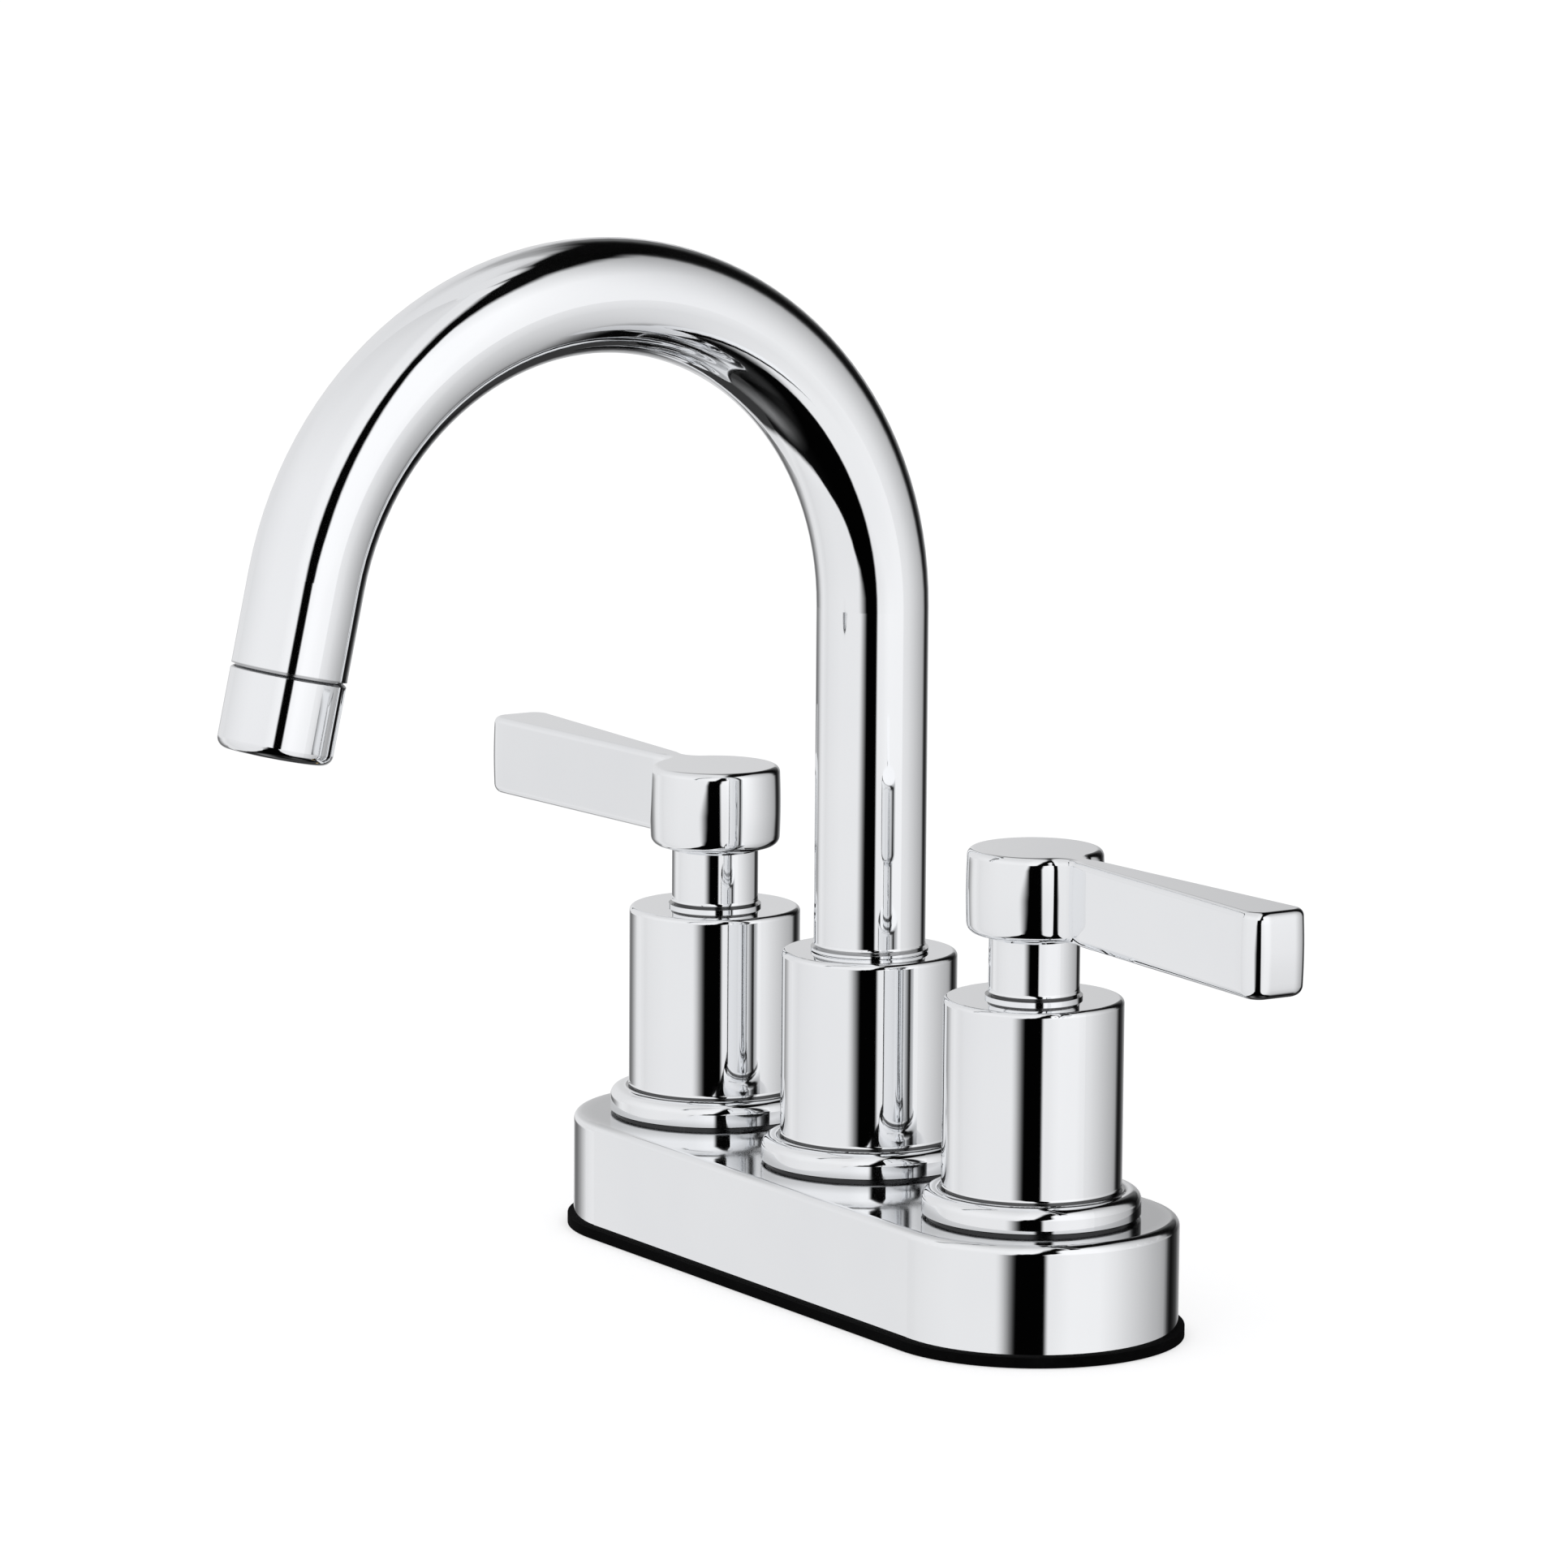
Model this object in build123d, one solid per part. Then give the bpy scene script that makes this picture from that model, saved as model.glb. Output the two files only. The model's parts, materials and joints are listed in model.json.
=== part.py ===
from build123d import *
import math
import os

os.makedirs("parts", exist_ok=True)

# ---------------------------------------------------------------- driving dimensions, mm
CENTRES = 101.6            # hot to cold valve axis, 4 inch
XV = CENTRES / 2

GASKET_T = 1.8             # compressed height on the deck
GASKET_OVER = 1.1          # shows round the foot of the base
BASE_R = 25.4              # end radius and half width of the base
BASE_TOP = 20.66
BASE_WALL = 2.4
BASE_EDGE = 1.5            # rounding of the top edge
RIB_T = 1.6

FLANGE_R = 18.8            # foot flange of a post
FLANGE_TOP = 25.36
FLANGE_EDGE = 1.8
POST_R = 15.46
POST_IN = 13.46
POST_TOP = 58.53
POST_EDGE = 0.9
POST_LID = 2.5
FOOT_FILLET = 1.0          # concave, post to flange
SEAM_H = 0.5               # open seam under the flange
SEAM_IN = 0.7
LINE_Z0 = 0.15             # turned line at the post's foot, above the flange
LINE_Z1 = 0.6
LINE_IN = 0.45

NECK_R = 7.8
NECK_TOP = 69.34
NECK_FOOT = 0.55           # flare at the neck's foot
NECK_LINE_Z0 = 0.5         # turned line over the flare
NECK_LINE_Z1 = 1.05
NECK_LINE_IN = 0.4
NECK_STUB_R = 7.2
NECK_STUB_Z = 50.0
NECK_THREAD_R = 6.05

HUB_R = 11.8
HUB_Z0 = 69.70
HUB_Z1 = 84.25
HUB_CROWN = 0.22           # the sides bulge this much at half height
HUB_EDGE_TOP = 1.25        # runs on along the lever
HUB_EDGE_LOW = 1.8
LEVER_END = 70.9           # from the handle's axis
LEVER_HALF_END = 6.15
LEVER_TAPER = 3.45         # degrees each side, widening outwards
LEVER_CORNER = 3.5         # upright corners of the lever's end
LEVER_BLEND = 3.0          # concave, lever to hub
LEVER_SWELL = 14.0         # degrees, where the blend runs into the lever
LEVER_SWELL_L = 3.0
SOCKET_R = 4.05
SOCKET_TOP = 79.3
SCREW_R = 1.95
SCREW_Z = 75.2

BODY_R = 14.0              # valve body inside the base
BODY_Z0 = 3.0
SHOULDER = BASE_TOP - BASE_WALL
TOWER_R = 12.6
TOWER_TOP = 34.0
CHAMBER_R = 10.9
CHAMBER_Z0 = 10.0
CHAMBER_Z1 = 22.0
THREAD_R = 10.5            # cartridge thread bore
SEAT_Z = 5.9
SEAT_BORE_R = 9.05
SHANK_R = 10.3             # 1/2-14 straight pipe thread
INLET_R = 6.5              # seat of the supply tube's nose
INLET_Z1 = -36.0
SHANK_BORE_R = 5.6
SHANK_Z0 = -48.0
UNDERCUT_R = 9.7           # between the mounting thread and the supply thread
UNDERCUT_Z0 = -33.5
UNDERCUT_Z1 = -32.0

TUBE_Z = 12.0              # cross tubes
TUBE_R = 5.0
TUBE_BORE_R = 4.2
BOSS_R = 6.2

NOSE_R = 9.0               # cartridge
NOSE_BORE_R = 8.0
DISC_R = 7.92
FIXED_Z0 = 8.4
FIXED_Z1 = 11.0
MOVING_Z1 = 14.5
SPINDLE_FOOT_Z = 18.0
SPINDLE_R = 4.75
SPINDLE_BORE_R = 4.80
CART_TUBE_TOP = 64.0
SPLINE_Z0 = 64.5
SPLINE_Z1 = 79.0
SPLINE_R = 4.0
SPLINE_ROOT = 3.68
SPLINE_TEETH = 20

HUB_TOWER_R = 13.40        # centre hub, screwed into the centre post
HUB_TOWER_TOP = 52.0
SEAL_BORE_R = 8.0
SHANK_NOSE_R = 7.94
CUP_R = 12.0
CUP_Z = 44.0

SPOUT_R = 9.80
SPOUT_BORE_R = 8.5
SPOUT_BOTTOM = 50.0
SPOUT_STRAIGHT = 119.40    # height where the bend starts
SPOUT_BEND = 57.08         # centre line
SPOUT_SWEEP = 167.56       # degrees
SPOUT_TAIL = 15.60
SPOUT_FLARE = 0.55

AER_LEN = 14.30
AER_GROOVE = 0.5
AER_EDGE = 1.9
AER_MOUTH_R = 7.6

WASHER_Z1 = -20.0          # deck clamped between z = 0 and here
NUT_Z1 = -22.0
NUT_Z0 = -31.0


# ---------------------------------------------------------------- helpers
def cyl(r, z0, z1, x=0.0, y=0.0):
    return Pos(x, y, (z0 + z1) / 2) * Cylinder(r, z1 - z0)


def tube(r_out, r_in, z0, z1, x=0.0, y=0.0):
    return cyl(r_out, z0, z1, x, y) - cyl(r_in, z0 - 1, z1 + 1, x, y)


def turned(items, x=0.0, y=0.0):
    """Solid of revolution about the vertical through (x, y); items are (radius, height) points and arcs."""
    edges = []
    first = last = None

    def go(p):
        nonlocal first, last
        if last is None:
            first = p
        elif math.dist(last, p) > 1e-6:
            edges.append(Edge.make_line((last[0], 0, last[1]), (p[0], 0, p[1])))
        last = p

    for it in items:
        if it[0] == "arc":
            go(it[1])
            edges.append(Edge.make_three_point_arc(*[(q[0], 0, q[1]) for q in it[1:]]))
            last = it[3]
        else:
            go(it)
    go(first)
    return Pos(x, y, 0) * revolve(Face(Wire(edges)), axis=Axis.Z, revolution_arc=360)


def along_x(r, x0, x1, z):
    return Pos((x0 + x1) / 2, 0, z) * Rot(0, 90, 0) * Cylinder(r, abs(x1 - x0))


def arc(cx, cz, r, a0, a1):
    """Arc of a profile, angles in degrees from +radius towards +height."""
    out = ["arc"]
    for a in (a0, (a0 + a1) / 2, a1):
        out.append((cx + r * math.cos(math.radians(a)), cz + r * math.sin(math.radians(a))))
    return [tuple(out)]


def stadium(half, z0, z1):
    body = Pos(0, 0, (z0 + z1) / 2) * Box(CENTRES, 2 * half, z1 - z0)
    return body + cyl(half, z0, z1, -XV) + cyl(half, z0, z1, XV)


def sector(r0, r1, mid_deg, span_deg, z0, z1):
    a0 = math.radians(mid_deg - span_deg / 2)
    a1 = math.radians(mid_deg + span_deg / 2)
    am = math.radians(mid_deg)

    def pt(r, a):
        return (r * math.cos(a), r * math.sin(a))
    face = make_face([
        Line(pt(r0, a0), pt(r1, a0)),
        ThreePointArc(pt(r1, a0), pt(r1, am), pt(r1, a1)),
        Line(pt(r1, a1), pt(r0, a1)),
        ThreePointArc(pt(r0, a1), pt(r0, am), pt(r0, a0)),
    ])
    return extrude(Pos(0, 0, z0) * face, z1 - z0)


def circles_at(part, z, r_min=0.0, r_max=1e9):
    out = []
    for e in part.edges().filter_by(GeomType.CIRCLE):
        c = e.bounding_box()
        if abs(c.min.Z - z) < 1e-3 and abs(c.max.Z - z) < 1e-3 and r_min <= e.radius <= r_max:
            out.append(e)
    return out


nodes = {}

# ---------------------------------------------------------------- base
gasket = stadium(BASE_R + GASKET_OVER, 0, GASKET_T)
for gx in (-XV, XV):
    gasket = gasket - cyl(11.0, -1, GASKET_T + 1, gx)
nodes["base_gasket"] = gasket

shell = stadium(BASE_R, GASKET_T, BASE_TOP)
top_edges = [e for e in shell.edges() if abs(e.bounding_box().min.Z - BASE_TOP) < 1e-3]
shell = fillet(top_edges, BASE_EDGE)
hollow = stadium(BASE_R - BASE_WALL, GASKET_T - 1, SHOULDER)
ribs = None
for rx in (-25.4, 25.4):
    rib = Pos(rx, 0, (17.4 + SHOULDER + 0.5) / 2) * Box(RIB_T, 2 * (BASE_R - BASE_WALL) + 1, SHOULDER + 0.5 - 17.4)
    hollow = hollow - rib
shell = shell - hollow
for gx in (-XV, XV):
    shell = shell - cyl(TOWER_R + 0.3, 0, 30, gx)
shell = shell - cyl(HUB_TOWER_R + 0.3, 0, 30)
nodes["base_plate"] = shell


# ---------------------------------------------------------------- posts
def post(x, hole_r):
    outer = [(0.0, BASE_TOP), (FLANGE_R - SEAM_IN, BASE_TOP), (FLANGE_R - SEAM_IN, BASE_TOP + SEAM_H),
             (FLANGE_R - 0.15, BASE_TOP + SEAM_H), (FLANGE_R, BASE_TOP + SEAM_H + 0.15)]
    outer += arc(FLANGE_R - FLANGE_EDGE, FLANGE_TOP - FLANGE_EDGE, FLANGE_EDGE, 0, 90)
    outer += arc(POST_R + FOOT_FILLET, FLANGE_TOP + FOOT_FILLET, FOOT_FILLET, 270, 180)
    outer += arc(POST_R - POST_EDGE, POST_TOP - POST_EDGE, POST_EDGE, 0, 90)
    outer += [(0.0, POST_TOP)]
    body = turned(outer, x)
    body = body - tube(POST_R + 3, POST_R - LINE_IN, FLANGE_TOP + LINE_Z0, FLANGE_TOP + LINE_Z1, x)
    body = body - cyl(POST_IN, BASE_TOP - 1, POST_TOP - POST_LID, x)
    return body - cyl(hole_r, BASE_TOP - 1, POST_TOP + 1, x)


nodes["hot_post"] = post(-XV, NECK_STUB_R + 0.3)
nodes["cold_post"] = post(XV, NECK_STUB_R + 0.3)
nodes["centre_post"] = post(0.0, SPOUT_R + 0.3)


# ---------------------------------------------------------------- waterway
def valve_body(x):
    s = -1 if x > 0 else 1          # towards the centre hub
    b = cyl(BODY_R, BODY_Z0, SHOULDER, x)
    b = b + cyl(TOWER_R, SHOULDER - 1, TOWER_TOP, x)
    b = b + cyl(SHANK_R, SHANK_Z0, BODY_Z0 + 1, x)
    b = b - tube(SHANK_R + 1, UNDERCUT_R, UNDERCUT_Z0, UNDERCUT_Z1, x)
    b = b + along_x(BOSS_R, x + s * 6, x + s * 17, TUBE_Z)
    b = b - cyl(INLET_R, SHANK_Z0 - 1, INLET_Z1, x)
    b = b - cyl(SHANK_BORE_R, INLET_Z1 - 1, SEAT_Z + 1, x)
    b = b - cyl(SEAT_BORE_R, SEAT_Z, CHAMBER_Z0 + 1, x)
    b = b - cyl(CHAMBER_R, CHAMBER_Z0, CHAMBER_Z1, x)
    b = b - cyl(THREAD_R, CHAMBER_Z1 - 1, TOWER_TOP + 1, x)
    b = b - along_x(TUBE_R + 0.05, x + s * 11.2, x + s * 18, TUBE_Z)
    b = b - along_x(TUBE_BORE_R, x + s * 8, x + s * 18, TUBE_Z)
    # outer chamfer where the supply nut starts
    rim = [e for e in circles_at(b, SHANK_Z0, SHANK_R - 0.1, SHANK_R + 0.1)]
    return chamfer(rim, 0.8)


nodes["hot_valve_body"] = valve_body(-XV)
nodes["cold_valve_body"] = valve_body(XV)

hub = cyl(BODY_R, BODY_Z0, SHOULDER)
hub = hub + cyl(HUB_TOWER_R, SHOULDER - 1, HUB_TOWER_TOP)
for s in (-1, 1):
    hub = hub + along_x(BOSS_R, s * 6, s * 17, TUBE_Z)
hub = hub - cyl(6.5, 6.0, 25)
hub = hub - cyl(SEAL_BORE_R, 23.5, CUP_Z + 1)
hub = hub - cyl(CUP_R, CUP_Z, HUB_TOWER_TOP + 1)
for s in (-1, 1):
    hub = hub - along_x(TUBE_R + 0.05, s * 9.4, s * 18, TUBE_Z)
    hub = hub - along_x(TUBE_BORE_R, s * 1, s * 18, TUBE_Z)
nodes["centre_hub"] = hub

for name, s in (("hot", -1), ("cold", 1)):
    t = along_x(TUBE_R, s * 9.5, s * (XV - 11.3), TUBE_Z) - along_x(TUBE_BORE_R, s * 8, s * 45, TUBE_Z)
    nodes[f"{name}_cross_tube"] = t


# ---------------------------------------------------------------- valve, one each side
def spline_bar(r, root, teeth, z0, z1):
    pts = []
    step = 360 / teeth
    for i in range(teeth):
        for rr, f in ((r, -0.17), (r, 0.17), (root, 0.33), (root, 0.67)):
            a = math.radians(step * (i + f))
            pts.append((rr * math.cos(a), rr * math.sin(a)))
    return extrude(Pos(0, 0, z0) * make_face(Polyline(*pts, close=True)), z1 - z0)


def valve(name, x):
    place = Pos(x, 0, 0)
    nodes[f"{name}_seat_seal"] = tube(8.7, 6.6, SEAT_Z, FIXED_Z0, x)

    fixed = cyl(DISC_R, FIXED_Z0, FIXED_Z1)
    for mid in (90, 270):
        fixed = fixed - sector(2.2, 6.4, mid, 78, FIXED_Z0 - 1, FIXED_Z1 + 1)
    nodes[f"{name}_fixed_disc"] = place * fixed

    moving = cyl(DISC_R, FIXED_Z1, MOVING_Z1)
    for mid in (0, 180):
        moving = moving - sector(2.2, 8.6, mid, 78, FIXED_Z1 - 1, FIXED_Z1 + 2.1)
    moving = moving - Pos(0, 0, MOVING_Z1) * Box(2.7, 10.4, 2.4)
    nodes[f"{name}_moving_disc"] = place * moving

    cart = cyl(NOSE_R, FIXED_Z0, CHAMBER_Z1 + 1)
    cart = cart + cyl(THREAD_R - 0.05, CHAMBER_Z1, TOWER_TOP + 0.5)
    hexagon = extrude(Pos(0, 0, TOWER_TOP + 1) * RegularPolygon(22.0 / math.sqrt(3), 6), 4.0)
    hexagon = hexagon & turned([(0, TOWER_TOP + 1), (12.7, TOWER_TOP + 1), (12.7, TOWER_TOP + 4.2),
                                (11.4, TOWER_TOP + 5), (0, TOWER_TOP + 5)])
    cart = cart + cyl(THREAD_R - 0.05, TOWER_TOP, TOWER_TOP + 1.5) + hexagon
    cart = cart + cyl(8.0, TOWER_TOP + 4, 46.0)
    cart = cart + cyl(NECK_THREAD_R - 0.05, 45.5, CART_TUBE_TOP)
    cart = cart - cyl(NOSE_BORE_R, FIXED_Z0 - 1, SPINDLE_FOOT_Z + 0.2)
    cart = cart - cyl(SPINDLE_BORE_R, SPINDLE_FOOT_Z, CART_TUBE_TOP + 1)
    cart = cart - Pos(0, 0, 14.6) * Box(30, 8.6, 4.6)      # outlet windows
    nodes[f"{name}_cartridge_body"] = place * cart

    nodes[f"{name}_cartridge_washer"] = tube(12.3, THREAD_R + 0.3, TOWER_TOP, TOWER_TOP + 1, x)

    sp = cyl(DISC_R, MOVING_Z1, SPINDLE_FOOT_Z) + Pos(0, 0, MOVING_Z1) * Box(2.5, 10.2, 2.2)
    sp = sp + cyl(SPINDLE_R, SPINDLE_FOOT_Z - 1, SPLINE_Z0)
    sp = sp + spline_bar(SPLINE_R, SPLINE_ROOT, SPLINE_TEETH, SPLINE_Z0 - 0.5, SPLINE_Z1)
    sp = sp - (tube(SPINDLE_R + 1, 3.6, 27.0, 29.4))
    nodes[f"{name}_spindle"] = place * sp

    nodes[f"{name}_spindle_o_ring"] = Pos(x, 0, 28.2) * Torus(4.19, 0.59)

    sleeve = [(NECK_STUB_R, NECK_STUB_Z), (NECK_STUB_R, POST_TOP), (NECK_R + NECK_FOOT, POST_TOP),
              (NECK_R + NECK_FOOT, POST_TOP + 0.45)]
    sleeve += arc(NECK_R + 1.2, POST_TOP + 1.55, 1.2, 237, 180)
    sleeve += [(NECK_R, NECK_TOP - 0.4), (NECK_R - 0.4, NECK_TOP), (5.3, NECK_TOP), (5.3, CART_TUBE_TOP + 0.1),
               (NECK_THREAD_R, CART_TUBE_TOP + 0.1), (NECK_THREAD_R, NECK_STUB_Z)]
    nodes[f"{name}_neck_sleeve"] = turned(sleeve, x) - tube(
        NECK_R + 2, NECK_R - NECK_LINE_IN, POST_TOP + NECK_LINE_Z0, POST_TOP + NECK_LINE_Z1, x)

    nodes[f"{name}_mounting_washer"] = tube(17.0, 10.8, NUT_Z1, WASHER_Z1, x)
    nut = extrude(Pos(0, 0, NUT_Z0) * RegularPolygon(30.0 / math.sqrt(3), 6), NUT_Z1 - NUT_Z0)
    nut = nut & turned([(0, NUT_Z0), (15.4, NUT_Z0), (17.4, NUT_Z0 + 1.2), (17.4, NUT_Z1), (0, NUT_Z1)])
    nut = nut + cyl(16.6, NUT_Z1 - 2.0, NUT_Z1)
    nodes[f"{name}_mounting_nut"] = place * (nut - cyl(SHANK_R + 0.05, NUT_Z0 - 1, NUT_Z1 + 1))


valve("hot", -XV)
valve("cold", XV)


# ---------------------------------------------------------------- handles
def handle_outline(inset, z):
    """Hub and lever in one closed line, lever towards +X, drawn inset from the full size."""
    hub_r = HUB_R - inset
    half_end = LEVER_HALF_END - inset
    end_x = LEVER_END - inset
    blend = LEVER_BLEND + inset
    corner = LEVER_CORNER - inset
    taper = math.radians(LEVER_TAPER)
    swell = math.radians(LEVER_SWELL)
    rho = LEVER_SWELL_L / (math.sin(swell) - math.sin(taper))
    rise = rho * (math.cos(taper) - math.cos(swell))

    def side_y(x):
        return half_end - (end_x - x) * math.tan(taper)

    # blend circle: tangent to the hub, and to the swell that runs out into the lever's side
    xc = hub_r + 1.3
    for _ in range(60):
        x2 = xc + blend * math.sin(swell) + LEVER_SWELL_L
        yc = side_y(x2) - rise + blend * math.cos(swell)
        xc = math.sqrt((hub_r + blend) ** 2 - yc ** 2)
    k = hub_r / (hub_r + blend)
    touch = (xc * k, yc * k)
    a0 = math.atan2(-yc, -xc) + 2 * math.pi
    a1 = 1.5 * math.pi + swell
    am = (a0 + a1) / 2
    blend_mid = (xc + blend * math.cos(am), yc + blend * math.sin(am))
    p1 = (xc + blend * math.sin(swell), yc - blend * math.cos(swell))
    half = (swell + taper) / 2
    swell_mid = (p1[0] + rho * (math.sin(swell) - math.sin(half)), p1[1] + rho * (math.cos(half) - math.cos(swell)))
    p2 = (x2, side_y(x2))
    # rounded corner: its circle touches the side and the end
    cx = end_x - corner
    cy = side_y(cx) - corner / math.cos(taper)
    side_touch = (cx - corner * math.sin(taper), cy + corner * math.cos(taper))
    mid = math.radians(45 + LEVER_TAPER / 2)
    corner_mid = (cx + corner * math.cos(mid), cy + corner * math.sin(mid))
    end_touch = (end_x, cy)

    def low(p):
        return (p[0], -p[1])
    line = Wire([
        ThreePointArc(touch, (-hub_r, 0), low(touch)),
        ThreePointArc(low(touch), low(blend_mid), low(p1)),
        ThreePointArc(low(p1), low(swell_mid), low(p2)),
        Line(low(p2), low(side_touch)),
        ThreePointArc(low(side_touch), low(corner_mid), low(end_touch)),
        Line(low(end_touch), end_touch),
        ThreePointArc(end_touch, corner_mid, side_touch),
        Line(side_touch, p2),
        ThreePointArc(p2, swell_mid, p1),
        ThreePointArc(p1, blend_mid, touch),
    ])
    return Pos(0, 0, z) * Face(line)


def handle():
    """Lever towards +X, axis at the origin; hub and lever share one outline and one height."""
    mid_z = (HUB_Z0 + HUB_Z1) / 2
    h = loft([handle_outline(HUB_CROWN, HUB_Z0), handle_outline(0.0, mid_z), handle_outline(HUB_CROWN, HUB_Z1)])
    top = [e for e in h.edges() if abs(e.bounding_box().min.Z - HUB_Z1) < 1e-3]
    h = fillet(top, HUB_EDGE_TOP)
    foot = [e for e in h.edges() if abs(e.bounding_box().max.Z - HUB_Z0) < 1e-3]
    h = fillet(foot, HUB_EDGE_LOW)
    h = h - cyl(SOCKET_R, HUB_Z0 - 1, SOCKET_TOP)
    h = h - Pos(0, 8.5, SCREW_Z) * Rot(90, 0, 0) * Cylinder(SCREW_R + 0.05, 10)
    return h


def set_screw():
    s = Pos(0, (4.1 + 10.1) / 2, SCREW_Z) * Rot(90, 0, 0) * Cylinder(SCREW_R, 6.0)
    key = extrude(RegularPolygon(2.0 / math.sqrt(3), 6), 3.0)
    s = s - Pos(0, 10.3, SCREW_Z) * Rot(90, 0, 0) * key
    return s


h = handle()
sc = set_screw()
nodes["cold_handle"] = Pos(XV, 0, 0) * h
nodes["hot_handle"] = Pos(-XV, 0, 0) * mirror(h, about=Plane.YZ)
nodes["cold_set_screw"] = Pos(XV, 0, 0) * sc
nodes["hot_set_screw"] = Pos(-XV, 0, 0) * sc

# ---------------------------------------------------------------- spout
th = math.radians(SPOUT_SWEEP)
p0 = (0, 0, SPOUT_BOTTOM)
p1 = (0, 0, SPOUT_STRAIGHT)
pm = (0, -SPOUT_BEND + SPOUT_BEND * math.cos(th / 2), SPOUT_STRAIGHT + SPOUT_BEND * math.sin(th / 2))
p2 = (0, -SPOUT_BEND + SPOUT_BEND * math.cos(th), SPOUT_STRAIGHT + SPOUT_BEND * math.sin(th))
tail = (0, -math.sin(th), math.cos(th))
p3 = tuple(a + SPOUT_TAIL * b for a, b in zip(p2, tail))
path = Wire([Edge.make_line(p0, p1), Edge.make_three_point_arc(p1, pm, p2), Edge.make_line(p2, p3)])
spout = sweep(Pos(0, 0, SPOUT_BOTTOM) * Circle(SPOUT_R), path=path)
spout = spout - sweep(Pos(0, 0, SPOUT_BOTTOM) * Circle(SPOUT_BORE_R), path=path)
fz = POST_TOP + 0.15
flare_pts = [(SPOUT_R - 0.6, fz), (SPOUT_R + SPOUT_FLARE, fz), (SPOUT_R + SPOUT_FLARE, fz + 0.45)]
flare_pts += arc(SPOUT_R + 1.2, fz + 1.5, 1.2, 237, 180)
flare_pts += [(SPOUT_R - 0.6, fz + 1.6)]
spout = spout + turned(flare_pts)
spout = spout - tube(SPOUT_R + 2, SPOUT_R - NECK_LINE_IN, fz + NECK_LINE_Z0, fz + NECK_LINE_Z1)
nodes["spout_tube"] = spout

nodes["spout_shank"] = (
    cyl(SHANK_NOSE_R, 24.3, 45.5) + cyl(SPOUT_R, CUP_Z + 1, SPOUT_BOTTOM) + cyl(SPOUT_BORE_R - 0.05, SPOUT_BOTTOM - 0.5, 58.0)
    - cyl(5.6, 20, 60)
    - tube(12, 9.0, 46.6, 48.2)
    - tube(12, 6.6, 28.9, 31.1)
    - tube(12, 6.6, 35.9, 38.1)
)
nodes["spout_o_ring_lower"] = Pos(0, 0, 30.0) * Torus(7.28, 0.67)
nodes["spout_o_ring_upper"] = Pos(0, 0, 37.0) * Torus(7.28, 0.67)
nodes["spout_thrust_washer"] = tube(11.8, 8.2, CUP_Z, CUP_Z + 1)
nodes["spout_bush"] = (tube(CUP_R - 0.1, SPOUT_R + 0.07, 48.6, HUB_TOWER_TOP + 0.5)
                       + tube(13.2, SPOUT_R + 0.07, HUB_TOWER_TOP, POST_TOP - POST_LID))
clip = tube(11.3, 9.05, 46.7, 48.1) - extrude(Pos(0, 0, 46) * make_face(
    Polyline((0, 0), (20, -9.5), (20, 9.5), close=True)), 3)
nodes["spout_clip"] = clip

# ---------------------------------------------------------------- outlet end
end = Plane(origin=p3, x_dir=(1, 0, 0), z_dir=tail)        # local +Z runs out of the spout


def at_end(part):
    return end.location * part


nodes["spout_outlet_adapter"] = at_end(turned([(6.4, -9.2), (SPOUT_BORE_R - 0.05, -9.2), (SPOUT_BORE_R - 0.05, -0.1),
                                               (7.75, -0.1), (7.75, -8.0), (6.4, -8.0)]))
nodes["aerator_washer"] = at_end(tube(7.6, 5.6, -8.0, -6.8))
house = [(6.5, -6.8), (7.70, -6.8), (7.70, 0.0), (9.15, 0.0), (9.15, AER_GROOVE - 0.25), (SPOUT_R - 0.25, AER_GROOVE),
         (SPOUT_R, AER_GROOVE + 0.25)]
house += arc(SPOUT_R - AER_EDGE, AER_LEN - AER_EDGE, AER_EDGE, 0, 78)
house += [(AER_MOUTH_R + 0.15, AER_LEN), (AER_MOUTH_R, AER_LEN - 0.2), (AER_MOUTH_R, 1.2), (6.5, 1.2)]
nodes["aerator_housing"] = at_end(turned(house))

insert = turned([(5.6, -6.0), (6.45, -6.0), (6.45, 1.25), (AER_MOUTH_R - 0.05, 1.25),
                 (AER_MOUTH_R - 0.05, AER_LEN - 0.65), (6.7, AER_LEN - 0.65), (6.7, 2.2), (5.6, 2.2)])
plate = cyl(6.0, -6.0, -4.8)
for k in range(10):
    a = 2 * math.pi * k / 10
    plate = plate - cyl(0.65, -7, -4, 4.0 * math.cos(a), 4.0 * math.sin(a))
for k in range(5):
    a = 2 * math.pi * k / 5
    plate = plate - cyl(0.6, -7, -4, 2.0 * math.cos(a), 2.0 * math.sin(a))
insert = insert + plate
grid = None
for k in range(-3, 4):
    off = k * 1.9
    half = math.sqrt(7.0 ** 2 - off ** 2)
    b1 = Pos(off, 0, AER_LEN - 2.15) * Box(0.55, 2 * half, 2.0)
    b2 = Pos(0, off, AER_LEN - 2.15) * Box(2 * half, 0.55, 2.0)
    grid = b1 + b2 if grid is None else grid + b1 + b2
insert = insert + grid
nodes["aerator_insert"] = at_end(insert)

# ---------------------------------------------------------------- write
for name, part in nodes.items():
    if isinstance(part, ShapeList) or not hasattr(part, "wrapped"):
        part = Compound(children=list(part))
    solids = part.solids()
    print(f"{name:24s} solids {len(solids)}  volume {sum(s.volume for s in solids):10.1f}")
    export_step(solids[0] if len(solids) == 1 else part, f"parts/{name}.step")
total = sum(sum(s.volume for s in p.solids()) for p in nodes.values())
print("nodes", len(nodes), "volume mm3", round(total, 1))
print("outlet joint", p3, "axis", tail)
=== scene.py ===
import json
import math

import bmesh
import bpy
from mathutils import Matrix, Vector


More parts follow.
